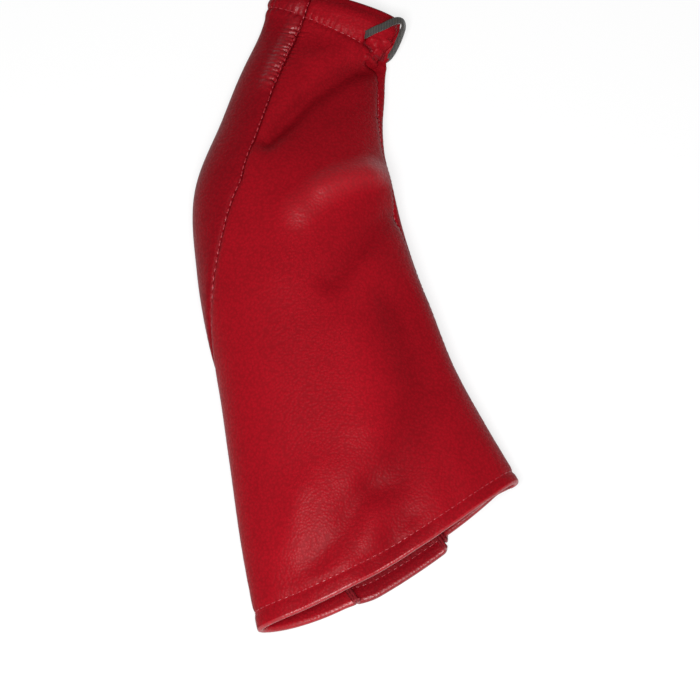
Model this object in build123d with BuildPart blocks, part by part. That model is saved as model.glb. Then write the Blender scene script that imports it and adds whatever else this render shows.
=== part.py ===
"""A sewn leather gaiter (boot) for a hand lever, lying on its side on a flat surface.

A bent, flared tube of three leather panels, which meet on three seams. The narrow neck
has a turned-in hem, a tunnel for a flat elastic band that comes out in the open beside
the right seam. The wide mouth has a flat turned-in hem. Lengths are in millimetres,
+Z is up from the surface, and the neck points along +Y.
"""

import os
from math import cos, radians, sin

from build123d import *

# --- Materials ---------------------------------------------------------------------
leather = 1.2  # one layer
elastic_width = 3.2
elastic_thick = 1.2
tunnel_gap = 2.6  # clear depth of the tunnel, between the two layers of the neck hem
seam_width = 1.0  # the line of stitching on which two panels meet
row_width = 0.8  # a hem's row of stitching
row_height = 0.4  # how far the row stands on the leather
clear = 0.3  # between a line of stitching, or the elastic, and the leather beside it

# --- Centre line, seen from above: neck, elbow and skirt ---------------------------
neck_lean = -16.5  # direction of the neck, in degrees from straight down
neck_run = 46.0
elbow_radius = 186.0
elbow_turn = 35.0
skirt_run = 110.0
skirt_overrun = 26.0  # spare length beyond the mouth, trimmed off by its cut

# --- Sections: distance from the neck's top edge, width and height as it lies ------
waist_at = 18.0
throat_at = 38.0
shoulder_at = 65.0
elbow_at = 94.0
hip_at = 124.0
thigh_at = 162.0
skirt_at = 200.0
flare_at = 235.0
neck_width, neck_height = 58.5, 20.0
waist_width, waist_height = 55.5, 18.0
throat_width, throat_height = 61.5, 24.0
shoulder_width, shoulder_height = 71.0, 31.0
elbow_width, elbow_height = 84.0, 37.0
hip_width, hip_height = 90.5, 39.0
thigh_width, thigh_height = 98.0, 39.0
skirt_width, skirt_height = 106.0, 38.0
flare_width, flare_height = 116.5, 36.0
mouth_width, mouth_height = 128.5, 32.0
fold_share = 0.4  # height of the side folds, as a share of the section's height
flat_share = 0.45  # width that lies flat, as a share of the section's width
sag = 0.15  # how far the underside is pressed flat

# --- Neck hem and elastic ----------------------------------------------------------
neck_hem = 14.5  # from the fold to its stitching; the raw edge is at the waist
hem_slope = 3.0  # length over which the inner layer comes up to the outer one
elastic_at = 7.0  # middle of the elastic, from the fold
exit_side = 15.0  # the hem's outer layer is cut away from here to the right seam
exit_depth = 11.0  # and down to here
ear_reach = 17.5  # the exposed loop of elastic, outwards from the cut
ear_lift = 5.0  # how far that loop has slipped up towards the fold
join_length = 6.0  # the elastic's ends, sewn into a ring
join_thick = 0.3
join_clear = 0.15

# --- Mouth -------------------------------------------------------------------------
mouth_radius = 256.0  # cut as an arc, like the flat pattern of a cone
mouth_skew = 14.0  # slant of the cut to the skirt, in degrees
mouth_hem = 7.0  # from the fold to its stitching
mouth_hem_edge = 12.0  # from the fold's corners to the turned-in leather's raw edge
mouth_bulge = 8.0  # how far the arc stands out past its corners

# --- Seams: their share of the girth, from the right fold over the top to the left -
# fold at about a half and on round the underside, at the neck, elbow, skirt and mouth
front_seam = (0.345, 0.37, 0.60, 0.683)
back_seam = (0.66, 0.68, 0.80, 0.85)
right_seam = (0.02, 0.02, 0.0, -0.02)

length = neck_run + elbow_radius * radians(elbow_turn) + skirt_run
end = length + skirt_overrun
hem_start = length - mouth_bulge - mouth_hem_edge
flare = (mouth_width - flare_width) / (length - flare_at)
tunnel_wall = leather + tunnel_gap
stack = tunnel_wall + leather
point_spacing = 14.0  # of the points on which a layer's section is drawn, at the mouth
wall_steps = 28  # straight stretches of wall between the two hems

sections = {
    0: (neck_width, neck_height),
    waist_at: (waist_width, waist_height),
    throat_at: (throat_width, throat_height),
    shoulder_at: (shoulder_width, shoulder_height),
    elbow_at: (elbow_width, elbow_height),
    hip_at: (hip_width, hip_height),
    thigh_at: (thigh_width, thigh_height),
    skirt_at: (skirt_width, skirt_height),
    flare_at: (flare_width, flare_height),
    length: (mouth_width, mouth_height),
    end: (mouth_width + flare * skirt_overrun, mouth_height),
}

wall_run = (hem_start - waist_at) / wall_steps
wall_cuts = [waist_at + wall_run * step for step in range(wall_steps + 1)]

with BuildLine() as centre_line:
    neck_leg = PolarLine((0, 0), neck_run, neck_lean - 90)
    elbow_arc = JernArc(neck_leg @ 1, neck_leg % 1, elbow_radius, elbow_turn)
    skirt_leg = PolarLine(
        elbow_arc @ 1, skirt_run + skirt_overrun, neck_lean + elbow_turn - 90
    )


def between(at, places, values):
    """The value at a distance from the neck, on straight lines between the places."""
    span = sum(at > place for place in places[1:-1])
    share = (at - places[span]) / (places[span + 1] - places[span])
    return values[span] + share * (values[span + 1] - values[span])


def section_plane(at):
    """The plane across the tube at a distance from the neck's edge: x across, y up."""
    wire = centre_line.wire()
    skew = mouth_skew * max(0, (at - hip_at) / (length - hip_at)) ** 2
    along = wire.tangent_at(at, PositionMode.LENGTH).rotate(Axis.Z, skew)
    across = Vector(0, 0, 1).cross(along)
    return Plane(wire.position_at(at, PositionMode.LENGTH), across, along)


def section_outline(at, inset):
    """The closed outline of a section, drawn from the right fold over the top."""
    places = list(sections)
    width = between(at, places, [size[0] for size in sections.values()])
    height = between(at, places, [size[1] for size in sections.values()])
    fold = fold_share * height
    flat = flat_share * width / 2
    side = width / 2 - flat - inset
    under = fold + sag - inset
    with BuildLine(mode=Mode.PRIVATE) as outline:
        EllipticalCenterArc(
            (0, fold), width / 2 - inset, height - fold - inset, arc_size=180
        )
        EllipticalCenterArc((-flat, fold), side, under, start_angle=180, arc_size=90)
        Line((-flat, fold - under), (flat, fold - under))
        EllipticalCenterArc((flat, fold), side, under, start_angle=270, arc_size=90)
    return outline.wire()


def seam_share(at, seam):
    """Where a seam is on the girth, at a distance from the neck."""
    return between(at, (0, elbow_at, skirt_at, length), seam)


def sheet(cuts, first, last, gap):
    """A layer from one seam to another, through cuts (distance, outer, inner inset)."""
    girth = section_outline(length, 0).length
    steps = 2 + int(girth * (last[-1] - first[-1]) / point_spacing)
    across = [i / steps for i in range(steps + 1)]
    with BuildPart(mode=Mode.PRIVATE) as layer:
        for at, *insets in cuts:
            rows = []
            for depth in (0, stack):
                outline = section_outline(at, depth)
                start = seam_share(at, first) + gap / outline.length
                stop = seam_share(at, last) - gap / outline.length
                shares = [(start + (stop - start) * part) % 1 for part in across]
                rows.append([outline @ share for share in shares])
            sides = []
            for inset in insets:
                depth = inset / stack
                sides.append([top + (under - top) * depth for top, under in zip(*rows)])
            with BuildSketch(section_plane(at)):
                with BuildLine():
                    add(Edge.make_spline(sides[0], parameters=across))
                    Line(sides[0][-1], sides[1][-1])
                    add(Edge.make_spline(sides[1], parameters=across))
                    Line(sides[0][0], sides[1][0])
                make_face()
        loft(ruled=True)
    return layer.part


def within_mouth(inset):
    """A disc that ends on the mouth's arc, moved in by inset."""
    lean = radians(neck_lean + elbow_turn + mouth_skew)
    apex = centre_line.wire().position_at(length, PositionMode.LENGTH)
    pole = apex - Vector(sin(lean), -cos(lean)) * mouth_radius
    with BuildPart(Plane(pole), mode=Mode.PRIVATE) as disc:
        Cylinder(mouth_radius - inset, 4 * hip_height)
    return disc.part


def trimmed(shape, inset=0.0):
    """The shape cut off at the mouth and pressed flat where it lies."""
    with BuildPart(mode=Mode.PRIVATE) as result:
        add(shape)
        add(within_mouth(inset), mode=Mode.INTERSECT)
        add(surface.part, mode=Mode.SUBTRACT)
    return result.part


with BuildPart() as surface:
    Box(4 * length, 4 * length, hip_height, align=(Align.CENTER, Align.CENTER, Align.MAX))

# The open corner of the neck hem, where its outer layer stops short of the seam.
with BuildPart(section_plane(0)) as hem_exit:
    with Locations((exit_side, neck_height / 2, -leather)):
        Box(
            neck_width,
            2 * neck_height,
            exit_depth + leather,
            align=(Align.MIN, Align.CENTER, Align.MIN),
        )


def panel(first, last):
    """One leather panel between two seams, with both of its hems."""

    def layer(*cuts):
        return sheet(cuts, first, last, seam_width / 2 + clear)

    fold = layer((0, 0, stack), (leather, 0, stack))
    tunnel_outside = layer((leather, 0, leather), (neck_hem, 0, leather))
    slope_at = neck_hem - hem_slope
    tunnel_inside = layer((leather, tunnel_wall, stack), (slope_at, tunnel_wall, stack))
    slope = layer((slope_at, tunnel_wall, stack), (neck_hem, leather, 2 * leather))
    sewn = layer((neck_hem, 0, 2 * leather), (waist_at, 0, 2 * leather))
    walls = layer(*[(at, 0, leather) for at in wall_cuts])
    mouth = layer((hem_start, 0, 2 * leather), (end, 0, 2 * leather))
    with BuildPart(mode=Mode.PRIVATE) as result:
        add(fold)
        add(tunnel_outside)
        add(hem_exit.part, mode=Mode.SUBTRACT)
        add([tunnel_inside, slope, sewn, walls, mouth])
    return trimmed(result.part)


def seam_line(seam):
    """The stitching that fills a seam between its two panels."""

    def layer(*cuts):
        return sheet(cuts, seam, seam, -seam_width / 2)

    with BuildPart(mode=Mode.PRIVATE) as result:
        add(layer((0, 0, leather), (waist_at, 0, leather)))
        add(hem_exit.part, mode=Mode.SUBTRACT)
        add(layer(*[(at, 0, leather) for at in wall_cuts]))
        add(layer((hem_start, 0, leather), (end, 0, leather)))
    return trimmed(result.part)


def hem_row(first, last, start, stop):
    """A row of stitching on the leather, through two distances from the neck."""
    outside = -clear - row_height
    cuts = [(start, outside, -clear), (stop, outside, -clear)]
    return sheet(cuts, first, last, seam_width / 2 + clear)


# Each panel runs from one seam to the next, round the boot.
right_again = tuple(share + 1 for share in right_seam)
panel_seams = {
    "front_panel": (right_seam, front_seam),
    "spine_panel": (front_seam, back_seam),
    "back_panel": (back_seam, right_again),
}
pieces = {name: panel(first, last) for name, (first, last) in panel_seams.items()}
pieces["front_seam_stitching"] = seam_line(front_seam)
pieces["back_seam_stitching"] = seam_line(back_seam)
pieces["right_seam_stitching"] = seam_line(right_seam)

# The rows end where the gaiter lies on the surface, and the spine's row at the mouth is
# all in that flat stretch, pressed into the leather.
neck_rows = []
mouth_rows = []
for name, (first, last) in panel_seams.items():
    neck_rows.append(trimmed(hem_row(first, last, neck_hem, neck_hem + row_width)))
    if name != "spine_panel":
        with BuildPart() as mouth_row:
            add(trimmed(hem_row(first, last, hem_start, end), mouth_hem))
            add(within_mouth(mouth_hem + row_width), mode=Mode.SUBTRACT)
        mouth_rows.append(mouth_row.part)
pieces["neck_hem_stitching"] = Compound(neck_rows)
pieces["mouth_hem_stitching"] = Compound(mouth_rows)

# The elastic: a ring round the tunnel's inner layer, cut away where the hem is open,
# and the loop that bulges out of the open corner from one end of it to the other.
elastic_inset = tunnel_wall - clear - elastic_thick
elastic_top = elastic_at - elastic_width / 2
elastic_bottom = elastic_at + elastic_width / 2
ring_cuts = [
    (elastic_top, elastic_inset, elastic_inset + elastic_thick),
    (elastic_bottom, elastic_inset, elastic_inset + elastic_thick),
]
elastic_ring = sheet(ring_cuts, right_seam, right_again, 2 * elastic_width)
neck_plane = section_plane(elastic_at)
neck_outline = section_outline(elastic_at, elastic_inset)
ends = neck_outline.intersect(Line((exit_side, -neck_height), (exit_side, 2 * neck_height)))
ends = ends.vertices().sort_by(Axis.Y)
ear_rise = (ends[-1].Y - ends[0].Y) / 2
ear_middle = (ends[-1].Y + ends[0].Y) / 2
ear_out = (neck_plane.x_dir * ear_reach - neck_plane.z_dir * ear_lift).normalized()
ear_plane = Plane(
    neck_plane.from_local_coords((exit_side, ear_middle, 0)),
    ear_out,
    ear_out.cross(Vector(0, 0, 1)),
)
with BuildPart() as elastic_band:
    add(elastic_ring)
    add(hem_exit.part, mode=Mode.SUBTRACT)
    with BuildSketch(ear_plane):
        Ellipse(ear_reach, ear_rise)
        Ellipse(ear_reach - elastic_thick, ear_rise - elastic_thick, mode=Mode.SUBTRACT)
        with Locations((-elastic_thick / 2, 0)):
            Rectangle(
                2 * ear_reach,
                2 * ear_reach,
                align=(Align.MIN, Align.CENTER),
                mode=Mode.INTERSECT,
            )
    extrude(amount=elastic_width / 2, both=True)
pieces["elastic_band"] = elastic_band.part

# The elastic's ends, sewn together inside the tunnel on the left fold.
join_inset = elastic_inset - join_clear
join_cuts = [
    (elastic_top + join_thick, join_inset - join_thick, join_inset),
    (elastic_bottom - join_thick, join_inset - join_thick, join_inset),
]
left_fold = (0.5, 0.5, 0.5, 0.5)
pieces["elastic_join"] = sheet(join_cuts, left_fold, left_fold, -join_length / 2)

# The origin is on the surface, below the middle of the whole gaiter.
extent = Compound(list(pieces.values())).bounding_box()
centred = Pos(-extent.center().X, -extent.center().Y, -extent.min.Z)

os.makedirs("parts", exist_ok=True)
for name, piece in pieces.items():
    placed = centred * piece
    placed.label = name
    export_step(placed, f"parts/{name}.step")
    print(name, len(placed.solids()), round(placed.volume), placed.bounding_box())
print(f"{extent.size.X:.1f} x {extent.size.Y:.1f} x {extent.size.Z:.1f} mm")
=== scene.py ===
# %% [markdown]
# # A sewn leather gaiter for a hand lever
# The real object is a bent, flared tube of thin red leather. Three panels meet on three
# seams, the narrow neck is gathered by a flat elastic band in a sewn tunnel, and the wide
# mouth has a turned-in hem. It lies on its side, empty, so it is a soft flattened shell.
#
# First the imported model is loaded. It fixes the size and the place of everything here.

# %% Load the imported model
from math import cos, pi, radians, sin

import bmesh
import bpy
import numpy as np
from mathutils import Matrix, Vector


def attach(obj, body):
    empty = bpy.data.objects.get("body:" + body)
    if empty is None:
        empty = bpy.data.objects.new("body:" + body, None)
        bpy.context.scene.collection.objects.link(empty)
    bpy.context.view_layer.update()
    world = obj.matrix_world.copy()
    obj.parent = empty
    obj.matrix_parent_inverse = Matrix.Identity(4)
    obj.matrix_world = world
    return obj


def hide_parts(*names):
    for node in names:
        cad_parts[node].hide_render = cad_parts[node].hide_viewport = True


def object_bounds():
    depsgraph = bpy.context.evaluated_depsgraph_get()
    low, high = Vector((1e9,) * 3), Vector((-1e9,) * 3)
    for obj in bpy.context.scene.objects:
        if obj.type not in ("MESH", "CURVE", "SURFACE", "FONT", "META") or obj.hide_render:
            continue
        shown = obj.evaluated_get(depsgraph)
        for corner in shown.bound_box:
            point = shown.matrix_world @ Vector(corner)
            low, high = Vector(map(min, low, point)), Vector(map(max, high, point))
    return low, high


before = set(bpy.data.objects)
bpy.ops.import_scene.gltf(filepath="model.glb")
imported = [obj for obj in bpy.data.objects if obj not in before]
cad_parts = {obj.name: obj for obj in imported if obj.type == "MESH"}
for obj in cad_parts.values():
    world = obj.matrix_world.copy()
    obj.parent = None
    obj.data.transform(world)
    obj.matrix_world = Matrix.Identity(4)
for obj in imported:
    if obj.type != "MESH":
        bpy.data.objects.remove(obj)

cad_low, cad_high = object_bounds()
print("CAD box in mm:", [round(1000 * side) for side in cad_high - cad_low])

# %% [markdown]
# ## The camera and the room
# Only leather has to look good here, so the room is a plain white table. The camera looks
# down steeply, at 70 degrees over the table, so that the whole flattened shell is seen. Its
# lens is long, 180 mm, so the near mouth isn't drawn larger than the far neck.

# %% Camera
MM = 0.001
middle = (cad_low + cad_high) / 2
aim = Vector((middle.x - 2.0 * MM, middle.y - 14.8 * MM, 0))
view_width = 301 * MM
camera_height = radians(70)
camera_data = bpy.data.cameras.new("camera")
camera_data.lens = 180
camera_data.sensor_width = 36
camera_data.clip_start, camera_data.clip_end = 0.05, 20
camera = bpy.data.objects.new("camera", camera_data)
away = Vector((0, -cos(camera_height), sin(camera_height)))
camera.location = aim + away * (view_width * camera_data.lens / camera_data.sensor_width)
camera.rotation_euler = (-away).to_track_quat("-Z", "Y").to_euler()
bpy.context.scene.collection.objects.link(camera)
bpy.context.scene.camera = camera
print("camera distance in m:", round(camera.location.length, 2))

# %% [markdown]
# ## Materials need two small helpers
# One turns an sRGB hex colour into the linear numbers that a shader works with. The other
# adds a node, sets what it is given and links what it is given, so that a material reads
# as a list of its steps.

# %% Colour, node and mesh helpers
def linear(hex_colour):
    """An sRGB hex colour as linear RGBA."""
    parts = [int(hex_colour[i:i + 2], 16) / 255 for i in (1, 3, 5)]
    return [p / 12.92 if p <= 0.04045 else ((p + 0.055) / 1.055) ** 2.4 for p in parts] + [1]


def node(material, kind, settings=None, **inputs):
    """A new node. An input is a value, or another node's output to link.

    Inputs go by name, with _ for a space, or by number, as _1, where names repeat.
    """
    made = material.node_tree.nodes.new(kind)
    for name, value in (settings or {}).items():
        setattr(made, name, value)
    for name, value in inputs.items():
        key = int(name[1:]) if name[0] == "_" else name.replace("_", " ")
        if isinstance(value, bpy.types.NodeSocket):
            material.node_tree.links.new(value, made.inputs[key])
        else:
            made.inputs[key].default_value = value
    return made


def new_material(name):
    """An empty node material and its output node."""
    material = bpy.data.materials.new(name)
    material.use_nodes = True
    material.node_tree.nodes.clear()
    return material, material.node_tree.nodes.new("ShaderNodeOutputMaterial")


def into_scene(name, bm):
    """Ends a bmesh and links its object, which stays at the origin."""
    mesh = bpy.data.meshes.new(name)
    bm.to_mesh(mesh)
    bm.free()
    made = bpy.data.objects.new(name, mesh)
    bpy.context.scene.collection.objects.link(made)
    return made


print("linear mid red:", [round(part, 3) for part in linear("#9E1823")])

# %% [markdown]
# ## The table and the lights
# The table is matt white paint. Lamps bright enough to make it pure white would bleach the
# red leather. So Light Path's Is Camera Ray mixes some plain white into what the camera
# sees directly, and the leather still gets only the light of the real, greyer table. The
# rest of the mix is the paint, so the shadow under the gaiter stays.
#
# A soft square lamp stands high over the camera's side. Leather shows its folds by how
# bright they are, and a lamp there leaves each slope that turns away a little darker. A
# weak second lamp, low in front, lights the inside of the mouth.

# %% Table
bm = bmesh.new()
bmesh.ops.create_grid(bm, x_segments=1, y_segments=1, size=3)
bmesh.ops.translate(bm, verts=bm.verts, vec=(0, 0, -0.1 * MM))
table = into_scene("table", bm)
# Matt paint: the same brightness from every side, with no highlight.
table_paint, out = new_material("matt_white_table_paint")
paint = node(table_paint, "ShaderNodeBsdfDiffuse", Color=linear("#EDEDED"))
seen = node(table_paint, "ShaderNodeLightPath")
white = node(table_paint, "ShaderNodeEmission", Color=(1, 1, 1, 1), Strength=1.0)
own_white = 0.74
page = node(
    table_paint,
    "ShaderNodeMixShader",
    _0=own_white,
    _1=paint.outputs[0],
    _2=white.outputs[0],
)
mix = node(
    table_paint,
    "ShaderNodeMixShader",
    _0=seen.outputs["Is Camera Ray"],
    _1=paint.outputs[0],
    _2=page.outputs[0],
)
table_paint.node_tree.links.new(mix.outputs[0], out.inputs["Surface"])
table.data.materials.append(table_paint)
print("table made,", len(table.data.polygons), "face")

# %% World and lamps
world = bpy.data.worlds.new("pale_room")
bpy.context.scene.world = world
world.use_nodes = True
world.node_tree.nodes["Background"].inputs["Color"].default_value = (1, 1, 1, 1)
world.node_tree.nodes["Background"].inputs["Strength"].default_value = 0.1


def lamp(name, azimuth, elevation, distance, size, power):
    """A square area light, aimed at the gaiter. Azimuth 0 is the camera's side."""
    data = bpy.data.lights.new(name, "AREA")
    data.size = size
    data.energy = power
    made = bpy.data.objects.new(name, data)
    a, e = radians(azimuth), radians(elevation)
    aside = Vector((sin(a) * cos(e), -cos(a) * cos(e), sin(e)))
    made.location = middle + aside * distance
    made.rotation_euler = (-aside).to_track_quat("-Z", "Y").to_euler()
    bpy.context.scene.collection.objects.link(made)
    return made


lamp("key_softbox", azimuth=-8, elevation=65, distance=1.1, size=0.4, power=17.2)
lamp("front_strip", azimuth=0, elevation=24, distance=1.3, size=0.5, power=1.1)
bpy.context.scene.view_settings.view_transform = "Standard"

# %% [markdown]
# ## The form: a centre line and the sections across it
# A gaiter is cut from a flat pattern, so every point of its leather has two numbers: how
# far along the tube it is, and its share of the way round. The next functions take those
# two numbers to a place in space. The lengths are the same as the CAD model's.
#
# A section is a low dome that lies flat on the table. Its widths and heights are given at
# ten places along the tube, and a smooth curve runs through them. left_out and right_out
# push the two edges out or in there, because limp leather doesn't lie evenly.

# %% Sizes in millimetres
leather = 1.2
neck_lean, neck_run = -16.5, 46.0
elbow_radius, elbow_turn = 186.0, 35.0
skirt_run = 110.0
elbow_end = neck_run + elbow_radius * radians(elbow_turn)
length = elbow_end + skirt_run
places = [0, 18, 38, 65, 94, 124, 162, 200, 235, length]
widths = [58.5, 55.5, 61.5, 71, 84, 90.5, 98, 106, 116.5, 128.5]
heights = [20, 18, 24, 31, 37, 39, 39, 38, 36, 32]
left_out = [2.4, 3.0, 1.6, -0.6, 0.2, -2.8, -4.4, -2.0, -0.6, -0.6]
right_out = [0.4, -0.3, 0.9, 2.2, 2.8, 3.8, 2.8, -0.3, -1.2, -1.2]
fold_share, flat_share = 0.4, 0.45
mouth_radius, mouth_skew, hip_at = 256.0, 14.0, 124.0
seam_places = [0, 94, 200, length]
front_seam = [0.345, 0.37, 0.60, 0.683]
back_seam = [0.66, 0.68, 0.80, 0.85]
right_seam = [0.02, 0.02, 0.0, -0.02]
print("length along the tube:", round(length, 1), "mm")

# %% From the flat pattern to the tube
def eased(at, where, values):
    """A smooth curve through the values."""
    at = np.asarray(at, float)
    where, values = np.array(where, float), np.array(values, float)
    slopes = np.gradient(values, where)
    span = np.clip(np.searchsorted(where, at) - 1, 0, len(where) - 2)
    run = where[span + 1] - where[span]
    t = np.clip((at - where[span]) / run, -0.6, 1.6)
    a = (1 + 2 * t) * (1 - t) ** 2 * values[span] + t * (1 - t) ** 2 * run * slopes[span]
    b = t * t * (3 - 2 * t) * values[span + 1] + t * t * (t - 1) * run * slopes[span + 1]
    return a + b


def ramp(value, low, high):
    """0 below low, 1 above high, smooth between them."""
    t = np.clip((value - low) / (high - low), 0, 1)
    return t * t * (3 - 2 * t)


def seam_share(at, seam):
    """A seam's share of the girth."""
    return np.interp(at, seam_places, seam)


def lean_at(at):
    """The way the middle line runs, in radians from straight down the table."""
    turned = np.clip((at - neck_run) / (elbow_end - neck_run), 0, 1)
    return np.radians(neck_lean + elbow_turn * turned)


step = 0.25
route = np.arange(-20, 320, step)
route_x = np.cumsum(np.sin(lean_at(route))) * step
route_y = np.cumsum(-np.cos(lean_at(route))) * step
route_x -= np.interp(0, route, route_x)
route_y -= np.interp(0, route, route_y)


def outline(at, inset=0.0, points=480):
    """One section: x, y, outward normals and running length, from the right fold round."""
    width = float(eased(at, places, widths))
    height = float(eased(at, places, heights))
    fold = fold_share * height
    flat = flat_share * width / 2
    turn = np.linspace(0, pi, points // 2)
    top_x = (width / 2 - inset) * np.cos(turn)
    top = np.stack([top_x, fold + (height - fold - inset) * np.sin(turn)])
    turn = np.linspace(pi, 1.5 * pi, points // 5)[1:]
    side, under = width / 2 - flat - inset, fold - inset
    left = np.stack([-flat + side * np.cos(turn), fold + under * np.sin(turn)])
    run = np.linspace(-flat, flat, points // 8)[1:-1]
    base = np.stack([run, np.full_like(run, inset)])
    turn = np.linspace(1.5 * pi, 2 * pi, points // 5)
    right = np.stack([flat + side * np.cos(turn), fold + under * np.sin(turn)])
    x, y = np.concatenate([top, left, base, right], axis=1)
    left_push = -float(eased(at, places, left_out))
    right_push = float(eased(at, places, right_out))
    x = x + np.where(x < 0, left_push, right_push) * np.abs(x) / (width / 2)
    along = np.concatenate([[0], np.cumsum(np.hypot(np.diff(x), np.diff(y)))])
    # The tiny slope keeps the running length rising where two arcs share a point.
    rising = along + 1e-9 * np.arange(len(x))
    tx = np.gradient(x, rising)
    ty = np.gradient(y, rising)
    size = np.hypot(tx, ty)
    return x, y, ty / size, -tx / size, along


def place(at, x, y):
    """Section coordinates in millimetres to a place over the table, before centring."""
    at, x = np.asarray(at, float), np.asarray(x, float)
    skew = np.maximum(0, (at - hip_at) / (length - hip_at)) ** 2
    lean = lean_at(at) + radians(mouth_skew) * skew
    px = np.interp(at, route, route_x) + x * np.cos(lean)
    py = np.interp(at, route, route_y) + x * np.sin(lean)
    return np.stack([px, py, np.broadcast_to(y, px.shape)], axis=-1)


print("neck girth:", round(outline(0)[4][-1]), "mm, mouth girth:", round(outline(length)[4][-1]), "mm")

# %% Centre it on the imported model
def mouth_edge(x):
    """How far the arc of the mouth falls back from its middle, at x across it."""
    return np.sqrt(mouth_radius ** 2 - x ** 2) - mouth_radius


plain = []
for at in np.arange(0, length, 2.0):
    x, y, nx, ny, along = outline(at)
    plain.append(place(np.full_like(x, at), x, y))
x, y, nx, ny, along = outline(length)
plain.append(place(length + mouth_edge(x), x, y))
plain = np.concatenate(plain)
centre = np.array((middle.x, middle.y)) / MM - (plain.min(0) + plain.max(0))[:2] / 2
to_frame = np.array((*centre, 0))
print("from the neck's own origin to the row frame:", centre.round(2))

# %% [markdown]
# ## Relief: what hands, stitches and weight do to leather
# The plain tube is too perfect. Real leather is pulled in at each line of stitching and
# puckers beside it, creases where the neck bends, and swells where nothing holds it. Each
# of these is one function that gives a height in millimetres.
#
# There are two ways to make such folds: sculpt the mesh by hand, or add heights by rule.
# Rules are used, because a fold can then be moved by changing two numbers, and because
# the same heights can drive the material later on. folds are broad and gentle. crumples
# are the small sharp ones at the open corner of the neck's hem, where the elastic's loop
# has pulled the leather together.

# %% Relief on the leather
def crease(x, y, line, half_width, height):
    """A ridge (or, below zero, a valley) along a line on the table, smooth all round."""
    gap = np.full(np.shape(x), 1000.0)
    for start, end in zip(line, line[1:]):
        run_x, run_y = end[0] - start[0], end[1] - start[1]
        t = ((x - start[0]) * run_x + (y - start[1]) * run_y) / (run_x ** 2 + run_y ** 2)
        t = np.clip(t, 0, 1)
        gap = np.minimum(gap, np.hypot(x - start[0] - t * run_x, y - start[1] - t * run_y))
    return height * np.exp(-((gap / half_width) ** 2))


def wander(value, seed):
    """A slow irregular wave of about -1 to 1."""
    return (
        np.sin(value + seed * 1.7)
        + 0.6 * np.sin(2.3 * value + seed * 3.1)
        + 0.4 * np.sin(5.1 * value + seed * 0.7)
    ) / 1.6


# Where the bent neck, the elbow and the loose skirt fold: line, half width and height.
folds = [
    ([(16, 116), (0, 109), (-20, 92), (-38, 70)], 5.0, -3.6),
    ([(8, 100), (-24, 77)], 13.0, -2.2),
    ([(-2, 119), (-17, 113)], 6.0, 1.2),
    ([(7, 57), (-8, 49), (-23, 36)], 9.0, 2.5),
    ([(-27, 27), (-31, 5)], 9.0, 0.6),
    ([(4, 55), (-14, 46)], 6.0, 1.4),
    ([(17, 38), (9, 29), (-10, 3)], 5.5, -2.2),
    ([(6, 12), (4, -4)], 6.0, 1.0),
    ([(17, -6), (28, -42), (24, -60), (15, -84)], 10.0, -3.0),
    ([(-2, -20), (2, -60)], 10.0, 1.0),
    ([(-14, -80), (-4, -83)], 8.0, 0.7),
    ([(5, -88), (-8, -109), (-17, -118)], 6.0, -1.6),
    ([(-21, -91), (-28, -114)], 8.0, 1.3),
    ([(8, -99), (6, -109)], 6.0, 0.7),
    ([(22, -100), (9, -119)], 6.0, -1.6),
    ([(10, -92), (18, -112)], 14.0, -1.5),
]
# Round the open corner of the neck's hem the leather is crumpled.
crumples = [
    ([(13.8, 124.9), (16.4, 124.0), (18.1, 120.7), (16.4, 116.2)], 1.2, 1.2),
    ([(10.0, 120.7), (13.0, 118.9)], 1.4, 1.2),
    ([(13.8, 119.8), (13.8, 116.2)], 0.8, -1.8),
    ([(5.7, 117.1), (9.1, 115.7), (12.5, 114.4), (15.1, 116.2)], 0.9, 1.2),
    ([(6.5, 114.8), (11.7, 112.5), (15.5, 112.1)], 1.3, -1.6),
    ([(5.4, 126.2), (4.9, 123.6), (8.0, 121.2)], 1.1, -3.2),
    ([(4.8, 125.3), (10.0, 124.9)], 0.7, 0.6),
]


def folded(px, py, up):
    """Height of the large folds, and of the crumples, on the side that faces up."""
    top = ramp(up, -0.1, 0.5)
    large = sum(crease(px, py, *fold) for fold in folds)
    small = sum(crease(px, py, *fold) for fold in crumples)
    return top * large, top * small


def puckers(along, away, pitch, reach, height, seed):
    """Small ridges square to a line of stitching, which die out away from it."""
    phase = 2 * pi * along / pitch
    phase = phase + 2.0 * wander(along / 6, seed) + 0.9 * wander(away / 2.5, seed + 5)
    ridge = (0.5 + 0.5 * np.cos(phase)) ** 0.7 - 0.55
    own_reach = reach * (1 + 0.45 * wander(along / 2.1, seed + 2))
    uneven = 0.7 * wander(along / 1.6, seed + 4)
    own_height = height * (1 + uneven + 0.5 * wander(away / 0.9, seed + 7))
    return own_height * ridge * np.exp(-away / own_reach)


def hem_line(x):
    """Where the neck's hem is sewn: it is deeper on the open side."""
    return 12.8 + 0.17 * x


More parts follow.
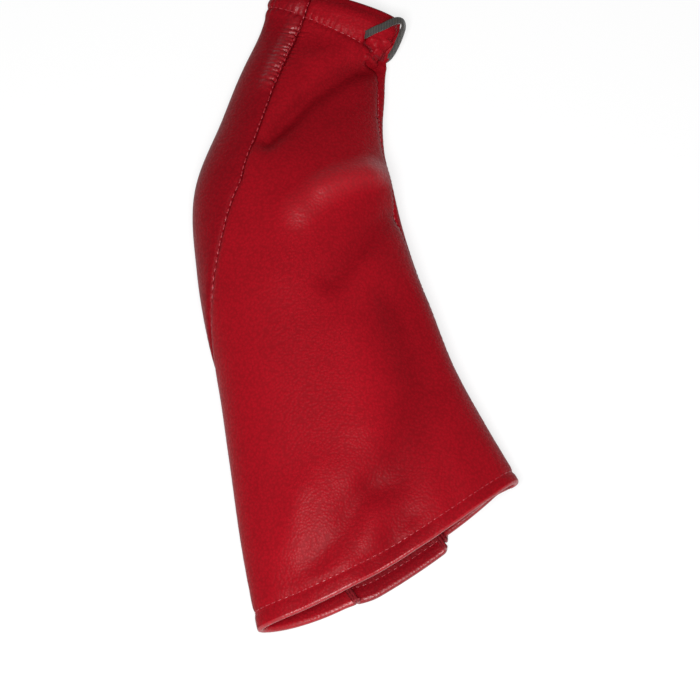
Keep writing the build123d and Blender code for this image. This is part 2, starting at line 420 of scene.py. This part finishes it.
def relief(at, share, girth, px, py, up, x):
    """Millimetres outwards of the leather from the plain tube."""
    large, small = folded(px, py, up)
    rise = large + small
    # Front seam: a groove, with long puckers on the spine's side near the neck.
    from_seam = (share - seam_share(at, front_seam)) * girth
    away = np.abs(from_seam)
    tight = ramp(at, 12, 20) * (1 - ramp(at, 46, 66))
    tight = tight + 0.25 * ramp(at, 84, 96) * (1 - ramp(at, 140, 156))
    tight = tight + 0.3 * ramp(at, 245, 253)
    rise -= 0.7 * np.exp(-((away / 1.9) ** 2))
    own_away = np.where(from_seam > 0, away, 2 * away)
    one_side = np.where(from_seam > 0, 1.0, 0.6)
    gathered = puckers(at, own_away, pitch=2.3, reach=3.2, height=1.7, seed=1)
    rise += one_side * gathered * (0.08 + tight)
    swell = ramp(at, 10, 16) * (1 - ramp(at, 44, 62))
    rise += 0.9 * swell * np.exp(-(((from_seam - 3.6) / 3.0) ** 2))
    # Right and back seams.
    for seam, seed, strong in ((right_seam, 4, 0.35), (back_seam, 6, 0.2)):
        gap = (share - seam_share(at, seam)) % 1
        gap = np.minimum(gap, 1 - gap) * girth
        rise -= 0.5 * np.exp(-((gap / 2.2) ** 2))
        gathered = puckers(at, gap, pitch=2.9, reach=2.4, height=strong, seed=seed)
        rise += gathered * ramp(at, 12, 20)
    # The neck's hem is pinched by its stitching, and stands up over the elastic.
    hem_gap = np.abs(at - hem_line(x))
    around = share * girth
    rise -= 0.75 * np.exp(-((hem_gap / 1.5) ** 2))
    gathered = puckers(around, hem_gap, pitch=3.1, reach=2.6, height=0.5, seed=8)
    rise += gathered * (1 - ramp(at, 24, 30))
    rise += 0.5 * ramp(at, 3, 6) * (1 - ramp(at, 9, 14)) * (1 + 0.5 * wander(around / 7, 3))
    rise -= 2.0 * (1 - ramp(at, -1.0, 4.2))
    return rise


def waviness(at, share, up):
    """At the mouth the leather lies a little open and wavy, in millimetres outwards."""
    return ramp(at, 200, length) * 0.7 * wander(share * 21, 5) * ramp(up, -1.2, -0.2)


def mouth_at(x, share):
    """Where the mouth's fold is, along the tube."""
    lobe = 2.2 * ramp(share, 0.66, 0.72) * (1 - ramp(share, 0.842, 0.857))
    back = -4.5 * ramp(share, 0.846, 0.858) * (1 - ramp(share, 0.95, 1.0))
    return length + mouth_edge(x) + lobe + back


def stretched(at, edge):
    """A distance along the tube, drawn out smoothly so that the mouth ends at its edge."""
    return at + (edge - length) * ramp(at, 130, 250)


print("folds:", len(folds))

# %% [markdown]
# ## A panel is one strip of leather
# In the workshop a panel is one piece, turned in at the neck and at the mouth. It is made
# the same way here: a grid is a flat strip, whose rows follow the leather from its raw
# edge inside the neck, round the fold, down the outside, round the mouth's fold and back
# inside. Then a Solidify modifier gives the strip its thickness.

# %% The strip's way along the leather
tunnel_gap = 2.6  # free height for the elastic
tunnel_depth = leather + tunnel_gap + leather / 2
half = leather / 2
lining_depth = 1.5 * leather + 0.1  # the turned-in layer, flat against the outer one
neck_rise = 2.9  # the empty hem stands up a little beyond the elastic's tunnel
hem_row_back = 6.8  # from the mouth's fold to the row of stitches in its hem


def leather_path():
    """Rows of (kind, distance, depth): the strip's way from raw edge to raw edge."""
    rows = []
    for at in np.linspace(18, 14.5, 6):
        rows.append(("lining", at, lining_depth))
    for t in np.linspace(0, 1, 6)[1:]:
        depth = lining_depth + (tunnel_depth - lining_depth) * ramp(t, 0, 1)
        rows.append(("lining", 14.5 - 4 * t, depth))
    for at in np.linspace(10.5, 2.5 - neck_rise, 14)[1:-1]:
        rows.append(("lining", at, tunnel_depth))
    middle_depth, radius = (tunnel_depth + half) / 2, (tunnel_depth - half) / 2
    for turn in np.linspace(0, pi, 14):
        at = 2.5 - neck_rise - radius * sin(turn)
        rows.append(("fold", at, middle_depth + radius * cos(turn)))
    # The rows are closest at the neck, where the puckers are small.
    for first, last, apart in ((3 - neck_rise, 48, 0.55), (48, 100, 0.9), (100, 255, 1.4)):
        for at in np.arange(first, last, apart):
            rows.append(("wall", at, half))
    for back in np.linspace(14, 1.4, 14):
        rows.append(("hem", -back, half))
    for turn in np.linspace(0, pi, 9)[1:-1]:
        rows.append(("hem", -1.3 + 0.7 * sin(turn), half + 0.7 * (1 - cos(turn))))
    for back in np.linspace(1.3, 12, 12):
        rows.append(("turned", -back, half + 1.4))
    return rows


path = leather_path()
print("rows on a panel:", len(path))

# %% Wrap one panel round the tube
def wrap(at, share, depth):
    """A place in the section and the way outwards there, from a share of the girth."""
    x, y, nx, ny, along = outline(at, depth)
    girth = along[-1]
    s = (share % 1) * girth
    sx, sy = np.interp(s, along, x), np.interp(s, along, y)
    snx, sny = np.interp(s, along, nx), np.interp(s, along, ny)
    return sx, sy, snx, sny, girth


# At a seam both panels roll inwards, and their allowances stand side by side inside.
allowance, roll_radius = 3.0, 1.0


def strip_columns(columns):
    """Sideways distance from the seam and drop of the edge columns, then shares of the rest."""
    aside = [half + 0.02] * 5
    drop = [roll_radius + allowance * (1 - part) for part in np.linspace(0, 1, 5)]
    for turn in np.linspace(0, pi / 2, 6)[1:]:
        aside.append(half + 0.02 + roll_radius * (1 - cos(turn)))
        drop.append(roll_radius * (1 - sin(turn)))
    t = np.linspace(0, 1, columns)
    return np.array(aside), np.array(drop), (t - 0.72 * np.sin(2 * pi * t) / (2 * pi))[1:-1]


def panel_points(first, last, columns):
    """Every vertex of a panel's strip, row by row."""
    aside, drop, spread = strip_columns(columns)
    points, relief_and_painted_light = [], []
    for kind, at, depth in path:
        nominal = length + at if kind in ("hem", "turned") else at
        girth = outline(nominal, depth)[4][-1]
        start, stop = seam_share(nominal, first), seam_share(nominal, last)
        low, high = start + aside / girth, stop - aside[::-1] / girth
        share = np.concatenate([low, low[-1] + (high[0] - low[-1]) * spread, high])
        fall = np.concatenate([drop, np.zeros(len(spread)), drop[::-1]])
        sx, sy, snx, sny, girth = wrap(nominal, share, depth)
        edge = mouth_at(sx, share % 1)
        own_at = stretched(nominal, edge)
        flat = place(own_at, sx, sy)
        px, py = flat[:, 0] + centre[0], flat[:, 1] + centre[1]
        rise = relief(np.full_like(share, nominal), share, girth, px, py, sny, sx)
        raised = rise
        if kind == "lining":
            rise = 0.3 * rise
        if kind == "fold":
            rise = rise * (0.3 + 0.7 * (tunnel_depth - depth) / (tunnel_depth - half))
        rise = rise - fall * (0.3 if kind in ("lining", "fold", "turned") else 1.0)
        rise = rise + waviness(nominal, share, sny)
        groove = np.exp(-(((own_at - edge + hem_row_back) / 1.3) ** 2))
        rise = rise + groove * (0.45 if kind == "turned" else -0.6)
        spot = place(own_at, sx + snx * rise, sy + sny * rise)
        spot[:, 2] = np.maximum(spot[:, 2], half)
        points.append(spot)
        # What the material is told: the relief's height, with painted light and shade
        # added. Ridges above zero are painted paler and valleys below it darker. The hem
        # band at the mouth, the front seam's groove and the neck's top edge get painted
        # shade, and the spine's side of the front seam near the neck a painted highlight.
        hem = np.exp(-(((own_at - edge + 4.0) / 2.2) ** 2))
        from_seam = (share - seam_share(nominal, front_seam)) * girth
        painted_groove_shade = 2.5 * np.exp(-((from_seam / 1.4) ** 2)) * (1 - ramp(nominal, 44, 70))
        # The mouth's fold edge gets the palest colour, a painted highlight, and full polish.
        if kind in ("hem", "turned") and at > -1.4:
            relief_and_painted_light.append(np.full_like(share, 5.0))
        else:
            near = (from_seam > 0) * np.exp(-np.abs(from_seam) / 5) * (1 - ramp(nominal, 44, 60))
            painted_shade = 1.6 * hem + painted_groove_shade + (1 - ramp(nominal, 1.5, 4.5)) * 1.5
            relief_and_painted_light.append(raised * (1 + 2.0 * near) + 3.5 * near - painted_shade)
    points = np.array(points)
    points[..., 0] += centre[0]
    points[..., 1] += centre[1]
    return points * MM, np.array(relief_and_painted_light)


def strip(name, points, relief_and_painted_light):
    """A grid on the given places, whose vertices carry relief with painted light and shade."""
    rows, columns = points.shape[:2]
    bm = bmesh.new()
    bmesh.ops.create_grid(bm, x_segments=columns - 1, y_segments=rows - 1, size=1)
    layer = bm.verts.layers.float.new("fold")
    order = sorted(bm.verts, key=lambda v: (round(v.co.y * 4000), v.co.x))
    for vertex, spot, height in zip(order, points.reshape(-1, 3), relief_and_painted_light.reshape(-1)):
        vertex.co = spot
        vertex[layer] = height
    made = into_scene(name, bm)
    made.data.shade_smooth()
    return made


print("columns across the front panel:", len(strip_columns(125)[2]) + 22)

# %% Make the three panels
def thicken(piece, thickness):
    """Gives a strip its thickness, with the grain side outwards."""
    modifier = piece.modifiers.new("thickness", "SOLIDIFY")
    modifier.thickness = thickness * MM
    modifier.offset = 0
    modifier.use_even_offset = False
    modifier.material_offset = 1
    modifier.material_offset_rim = 1


right_again = [share + 1 for share in right_seam]
panels = {
    "front_panel": (right_seam, front_seam, 125),
    "spine_panel": (front_seam, back_seam, 110),
    "back_panel": (back_seam, right_again, 90),
}
made_panels = {}
for name, (first, last, columns) in panels.items():
    piece = strip(name.replace("panel", "leather"), *panel_points(first, last, columns))
    thicken(piece, leather)
    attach(piece, "root")
    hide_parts(name)
    made_panels[name] = piece
    print(piece.name, len(piece.data.polygons), "faces")

# %% [markdown]
# ## Leather
# Chrome-tanned cowhide, dyed through, embossed with a small pebble grain and finished
# with a thin satin pigment coat. The eye sees a deep red with soft wide highlights that
# break up on the grain, and a slightly darker colour in its valleys.
#
# The grain is a Voronoi pattern, bent by noise so that its pebbles aren't round, at the
# real size of the embossing, 1.15 mm. It drives both the colour and the bump. Each panel
# also carries an attribute called fold: the height of the relief at every vertex, with
# painted light and shade added. The material reads it, paints ridges paler and valleys
# and grooves darker, and gives ridges more polish.
#
# The spine panel's leather is coloured a little darker. The inside is the flesh side, a
# matt suede. The Solidify modifier gives it to the inner faces.

# %% Grain leather and its flesh side
def grain_leather(name, tops, valleys, pebble, depth, rough):
    """Pebbled, satin-finished cowhide. pebble and depth are in millimetres."""
    material, out = new_material(name)
    where = node(material, "ShaderNodeTexCoord").outputs["Object"]
    bend = node(material, "ShaderNodeTexNoise", Vector=where, Scale=0.35 / (pebble * MM), Detail=2.0)
    shifted = node(
        material,
        "ShaderNodeMix",
        {"data_type": "RGBA", "blend_type": "ADD"},
        Factor=pebble * MM * 0.8,
        _6=where,
        _7=bend.outputs["Color"],
    )
    cells = node(
        material,
        "ShaderNodeTexVoronoi",
        {"feature": "F1"},
        Vector=shifted.outputs[2],
        Scale=1 / (pebble * MM),
    )
    pebbles = node(
        material, "ShaderNodeMapRange", Value=cells.outputs["Distance"], _1=0.15, _2=0.75, _3=1.0, _4=0.0
    )
    fine = node(material, "ShaderNodeTexNoise", Vector=where, Scale=2.6 / (pebble * MM), Detail=3.0)
    patches = node(material, "ShaderNodeTexNoise", Vector=where, Scale=38.0, Detail=3.0, Roughness=0.6)
    height = node(
        material,
        "ShaderNodeMath",
        {"operation": "MULTIPLY_ADD"},
        _0=fine.outputs["Fac"],
        _1=0.12,
        _2=pebbles.outputs["Result"],
    )
    bump = node(
        material,
        "ShaderNodeBump",
        Strength=0.8,
        Distance=depth * MM,
        Height=height.outputs[0],
    )
    shade = node(
        material,
        "ShaderNodeMix",
        {"data_type": "RGBA"},
        Factor=pebbles.outputs["Result"],
        _6=linear(valleys),
        _7=linear(tops),
    )
    cloud = node(
        material, "ShaderNodeMapRange", Value=patches.outputs["Fac"], _1=0.3, _2=0.7, _3=0.95, _4=1.05
    )
    # Painted shade and light: valleys and grooves are painted darker and ridges paler,
    # and ridges get more polish.
    relief_and_painted_light = node(material, "ShaderNodeAttribute", {"attribute_name": "fold"})
    painted_light_tone = node(
        material,
        "ShaderNodeMapRange",
        Value=relief_and_painted_light.outputs["Fac"],
        _1=-3.5,
        _2=3.5,
        _3=0.72,
        _4=1.13,
    )
    tone = node(
        material,
        "ShaderNodeMath",
        {"operation": "MULTIPLY"},
        _0=cloud.outputs["Result"],
        _1=painted_light_tone.outputs["Result"],
    )
    toned = node(
        material,
        "ShaderNodeHueSaturation",
        Color=shade.outputs[2],
        Value=tone.outputs[0],
    )
    gloss = node(
        material,
        "ShaderNodeMapRange",
        Value=height.outputs[0],
        _1=0.2,
        _2=1.2,
        _3=rough + 0.12,
        _4=rough,
    )
    polish = node(
        material,
        "ShaderNodeMapRange",
        Value=relief_and_painted_light.outputs["Fac"],
        _1=1.0,
        _2=5.5,
        _3=0.06,
        _4=0.85,
    )
    skin = node(
        material,
        "ShaderNodeBsdfPrincipled",
        Base_Color=toned.outputs["Color"],
        Roughness=gloss.outputs["Result"],
        IOR=1.45,
        Specular_IOR_Level=polish.outputs["Result"],
        Normal=bump.outputs["Normal"],
    )
    material.node_tree.links.new(skin.outputs[0], out.inputs["Surface"])
    return material


# Embossed and satin-coated: pebbles 1.15 mm across, 0.1 mm high, with soft highlights.
grain = {"pebble": 1.15, "depth": 0.1, "rough": 0.34}
red_leather = grain_leather("red_pebble_grain_leather", "#960E1A", "#840C16", **grain)
# The spine panel's leather is coloured a little darker.
dark_leather = grain_leather(
    "darker_red_pebble_grain_leather", "#860C17", "#750A14", **grain
)
# Suede: a finer, softer nap that scatters the light, so it has no highlight.
flesh_side = grain_leather(
    "red_suede_flesh_side", "#8E2028", "#6E151C", pebble=0.5, depth=0.08, rough=0.85
)
for name, piece in made_panels.items():
    piece.data.materials.append(dark_leather if name == "spine_panel" else red_leather)
    piece.data.materials.append(flesh_side)
print("leather nodes:", len(red_leather.node_tree.nodes))

# %% [markdown]
# ## Stitches
# The panels are sewn with bonded polyester thread, a tone brighter than the leather. A
# lockstitch shows as a row of short fat grains of thread that dive into the leather at
# both ends, so one grain is a stretched sphere, and a row is copies of it along a path.
#
# A hem's row could be drawn as one curve, but then it would float over every pucker. Here
# each end of each stitch is put on the finished leather, with the same relief that bent
# the panels, so a stitch always lies where the needle went in.

# %% A place on the finished leather
def on_leather(at, share, lift=0.0):
    """A point on the grain side, and the outward direction there."""
    nominal = min(at, length)
    sx, sy, snx, sny, girth = wrap(nominal, share, 0)
    own_at = stretched(nominal, float(mouth_at(sx, share % 1)))
    px, py = (place(own_at, sx, sy) + to_frame)[:2]
    rise = float(relief(np.array(nominal), np.array(share), girth, px, py, np.array(sny), sx))
    rise += float(waviness(nominal, share, sny)) + lift
    there = place(own_at, sx + snx * rise, sy + sny * rise) + to_frame
    beyond = place(own_at, sx + snx * (rise + 1), sy + sny * (rise + 1)) + to_frame
    return Vector(there), Vector(beyond - there).normalized()


table_clear = 0.2  # a stitch that would lie in the table is left out


def sew(name, stops, thickness, slack=0.8):
    """A row of stitches from one stop (place, outward direction) to the next."""
    bm = bmesh.new()
    for (start, out_1), (end, out_2) in stops:
        run = end - start
        if min(start.z, end.z) < table_clear:
            continue
        ahead = run.normalized()
        out = (out_1 + out_2).normalized()
        turn = Matrix((ahead, out.cross(ahead).normalized(), out)).transposed().to_4x4()
        size = Matrix.Diagonal((run.length * slack / 2, thickness / 2, thickness / 2.4, 1))
        here = Matrix.Translation((start + end) / 2 * MM) @ turn @ Matrix.Scale(MM, 4) @ size
        bmesh.ops.create_uvsphere(bm, u_segments=8, v_segments=6, radius=1, matrix=here)
    bmesh.ops.recalc_face_normals(bm, faces=bm.faces)
    made = into_scene(name, bm)
    made.data.shade_smooth()
    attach(made, "root")
    return made


print("a point on the front seam:", on_leather(60, 0.36)[0])

# %% The seams' stitches
stitch = 3.0


def down_a_seam(seam, start, stop, depth):
    """Pairs of stops along a seam, deep between its two panels."""
    stops = []
    for at in np.arange(start, stop, stitch):
        proud = 0
        if seam is front_seam:
            # Among the long puckers the thread is stretched over the leather.
            proud = float(ramp(at, 10, 14) * (1 - ramp(at, 30, 42)))
        ends = []
        for here in (at, at + stitch):
            ends.append(on_leather(here, float(seam_share(here, seam)), proud - depth))
        stops.append(ends)
    return stops


threads = {
    "front_seam_stitching": down_a_seam(front_seam, 3, length - 6, 0.55),
    "back_seam_stitching": down_a_seam(back_seam, 3, length - 6, 0.4),
    "right_seam_stitching": down_a_seam(right_seam, 16, length - 6, 0.4),
}
thread_pieces = []
for name, stops in threads.items():
    row = sew(name.replace("stitching", "thread"), stops, 0.7)
    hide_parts(name)
    thread_pieces.append(row)
    print(row.name, len(row.data.polygons), "faces")

# %% The hems' stitches
seam_clear = 2.0  # no stitch of a hem lies nearer to a seam than this


def from_seam_at(at, share, girth, seam):
    """The shortest way round the tube from a share of its girth to a seam."""
    return abs((share - seam_share(at, seam) + 0.5) % 1 - 0.5) * girth


def round_the_neck(start, stop, lift):
    """Pairs of stops along the neck's hem line, which slopes across the tube."""
    x, y, nx, ny, along = outline(14)
    girth = along[-1]
    stops = []
    for share in np.arange(start, stop, stitch / girth):
        ends = [share, share + stitch / girth]
        if from_seam_at(0, share, girth, front_seam) > seam_clear:
            ats = [float(hem_line(np.interp(end * girth, along, x))) for end in ends]
            stops.append([on_leather(at, end, lift) for at, end in zip(ats, ends)])
    return stops


def round_the_tube(at, start, stop, lift):
    """Pairs of stops round the tube at one distance, skipping the three seams."""
    girth = outline(at)[4][-1]
    stops = []
    for share in np.arange(start, stop, stitch / girth):
        middle_share = share + 0.5 * stitch / girth
        seams = (front_seam, back_seam, right_seam)
        nearest = min(from_seam_at(at, middle_share, girth, seam) for seam in seams)
        if nearest > seam_clear:
            stops.append([on_leather(at, end, lift) for end in (share, share + stitch / girth)])
    return stops


neck_row = sew("neck_hem_thread", round_the_neck(0.03, 1.0, 0.0), 0.5)
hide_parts("neck_hem_stitching")
# The mouth's row is seen twice: outside all round, and inside on the side that lies below.
inside = -(2 * leather + 0.25)
mouth_stops = round_the_tube(length - hem_row_back, 0.0, 0.99, -0.45)
mouth_stops += round_the_tube(length - hem_row_back, 0.5, 0.99, inside)
mouth_row = sew("mouth_hem_thread", mouth_stops, 0.5)
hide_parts("mouth_hem_stitching")
thread_pieces += [neck_row, mouth_row]
print("hem rows:", len(neck_row.data.polygons) + len(mouth_row.data.polygons), "faces")

# %% Thread material
def polyester_thread():
    """Bonded polyester: a twisted, slightly shiny yarn, whose twist shows as fine ribs."""
    material, out = new_material("red_bonded_polyester_thread")
    where = node(material, "ShaderNodeTexCoord").outputs["Object"]
    # The real twist is 0.25 mm; it is drawn at 0.6 mm, so that it shows.
    twist = node(
        material,
        "ShaderNodeTexWave",
        {"bands_direction": "DIAGONAL"},
        Vector=where,
        Scale=1 / (0.6 * MM) / 6.28,
        Distortion=1.0,
    )
    shade = node(
        material,
        "ShaderNodeMix",
        {"data_type": "RGBA"},
        Factor=twist.outputs["Fac"],
        _6=linear("#86121C"),
        _7=linear("#A8323C"),
    )
    bump = node(
        material,
        "ShaderNodeBump",
        Strength=0.5,
        Distance=0.05 * MM,
        Height=twist.outputs["Fac"],
    )
    yarn = node(
        material,
        "ShaderNodeBsdfPrincipled",
        Base_Color=shade.outputs[2],
        Roughness=0.35,
        Normal=bump.outputs["Normal"],
    )
    material.node_tree.links.new(yarn.outputs[0], out.inputs["Surface"])
    return material


red_thread = polyester_thread()
for piece in thread_pieces:
    piece.data.materials.append(red_thread)
print("threads:", len(thread_pieces))

# %% [markdown]
# ## The elastic band
# Flat woven elastic, 3 mm wide, runs round inside the neck's hem. At the open corner of
# the hem a loop of it has slipped out: it leaves a slit on the upper side, turns over the
# right edge and goes back under. It is made as a strip whose rows follow that way.
#
# A bevelled curve would twist where the loop turns over. Instead each row is laid across
# the way, square to the line from the band's own heart, as a band lies round a wrist.

# %% The elastic's way round the neck
elastic_width, elastic_thick = 3.0, 1.1
loop = [
    (12.4, 10.5, 13.5), (11.3, 14.5, 15.4), (10.6, 16.4, 17.4), (8.6, 18.8, 18.3), (6.1, 21.6, 18.0),
    (3.0, 24.2, 17.2), (0.5, 26.5, 15.9), (-0.4, 28.6, 14.2), (0.9, 29.6, 12.5), (3.8, 29.5, 11.0),
    (8.1, 29.0, 9.5), (12.4, 28.0, 7.8), (15.4, 26.4, 6.0), (16.6, 23.8, 4.2), (15.0, 20.0, 2.8),
    (11.0, 15.0, 2.4),
]


elastic_at, elastic_inset = 7.0, 2.5  # where the hidden part runs, and how deep


def elastic_route():
    """Places on the band's closed middle line: the loop, then the ring in the tunnel."""
    x, y = outline(elastic_at, elastic_inset)[:2]
    first = int(np.argmax(x < 5.0))
    under = [i for i in range(len(x)) if x[i] > 6.0 and i > len(x) // 2][0]
    ring = [(elastic_at, across, up) for across, up in zip(x, y)][under:first:-14]
    return np.array(loop + ring)


def smooth_through(stops, parts):
    """A closed, smooth line through the stops, each run of it in some parts."""
    closed = np.vstack([stops[-2:], stops, stops[:3]])
    line = []
    for i in range(1, len(closed) - 2):
        p0, p1, p2, p3 = closed[i - 1:i + 3]
        bend = 2 * p0 - 5 * p1 + 4 * p2 - p3
        twist = 3 * p1 - p0 - 3 * p2 + p3
        for t in np.linspace(0, 1, parts + 1)[:-1]:
            line.append(0.5 * (2 * p1 + (p2 - p0) * t + bend * t ** 2 + twist * t ** 3))
    return np.array(line[parts:-parts])


fine = smooth_through(elastic_route(), 6)
print("points on the elastic's way:", len(fine))

# %% Weave the elastic
line = place(fine[:, 0], fine[:, 1], fine[:, 2]) + to_frame
heart = place(np.array(elastic_at), np.array(16.0), np.array(3.5)) + to_frame
rows = []
for i in range(len(line)):
    tangent = Vector(line[(i + 1) % len(line)] - line[i - 1]).normalized()
    outward = Vector(line[i] - heart)
    outward = (outward - outward.dot(tangent) * tangent).normalized()
    across = tangent.cross(outward).normalized()
    row = []
    for part in np.linspace(-0.5, 0.5, 7):
        row.append(Vector(line[i]) + across * elastic_width * part)
    rows.append(row)
elastic_points = np.array(rows) * MM
elastic = strip("elastic_loop", elastic_points, np.zeros(elastic_points.shape[:2]))
thicken(elastic, elastic_thick)
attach(elastic, "root")
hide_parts("elastic_band", "elastic_join")
print("elastic:", len(elastic.data.polygons), "faces")

# %% Woven elastic material
def woven_elastic():
    """Polyester woven over rubber, which looks dull and finely ribbed across the band."""
    material, out = new_material("charcoal_woven_elastic")
    where = node(material, "ShaderNodeTexCoord").outputs["Object"]
    # The real ribs are 0.5 mm apart, and they are drawn a little wider, at 0.6 mm.
    ribs = node(
        material,
        "ShaderNodeTexWave",
        {"bands_direction": "X"},
        Vector=where,
        Scale=1 / (0.6 * MM) / 6.28,
        Distortion=0.6,
    )
    lint = node(material, "ShaderNodeTexNoise", Vector=where, Scale=900.0, Detail=2.0)
    shade = node(
        material,
        "ShaderNodeMix",
        {"data_type": "RGBA"},
        Factor=ribs.outputs["Fac"],
        _6=linear("#292522"),
        _7=linear("#3A3632"),
    )
    worn = node(
        material,
        "ShaderNodeMix",
        {"data_type": "RGBA", "blend_type": "OVERLAY"},
        Factor=0.4,
        _6=shade.outputs[2],
        _7=lint.outputs["Color"],
    )
    bump = node(material, "ShaderNodeBump", Strength=0.5, Distance=0.06 * MM, Height=ribs.outputs["Fac"])
    cloth = node(
        material,
        "ShaderNodeBsdfPrincipled",
        Base_Color=worn.outputs[2],
        Roughness=0.8,
        Sheen_Weight=0.2,
        Normal=bump.outputs["Normal"],
    )
    material.node_tree.links.new(cloth.outputs[0], out.inputs["Surface"])
    return material


# Two slots, because a strip's inner faces take the second one.
charcoal_elastic = woven_elastic()
elastic.data.materials.append(charcoal_elastic)
elastic.data.materials.append(charcoal_elastic)
print("materials:", len(bpy.data.materials))
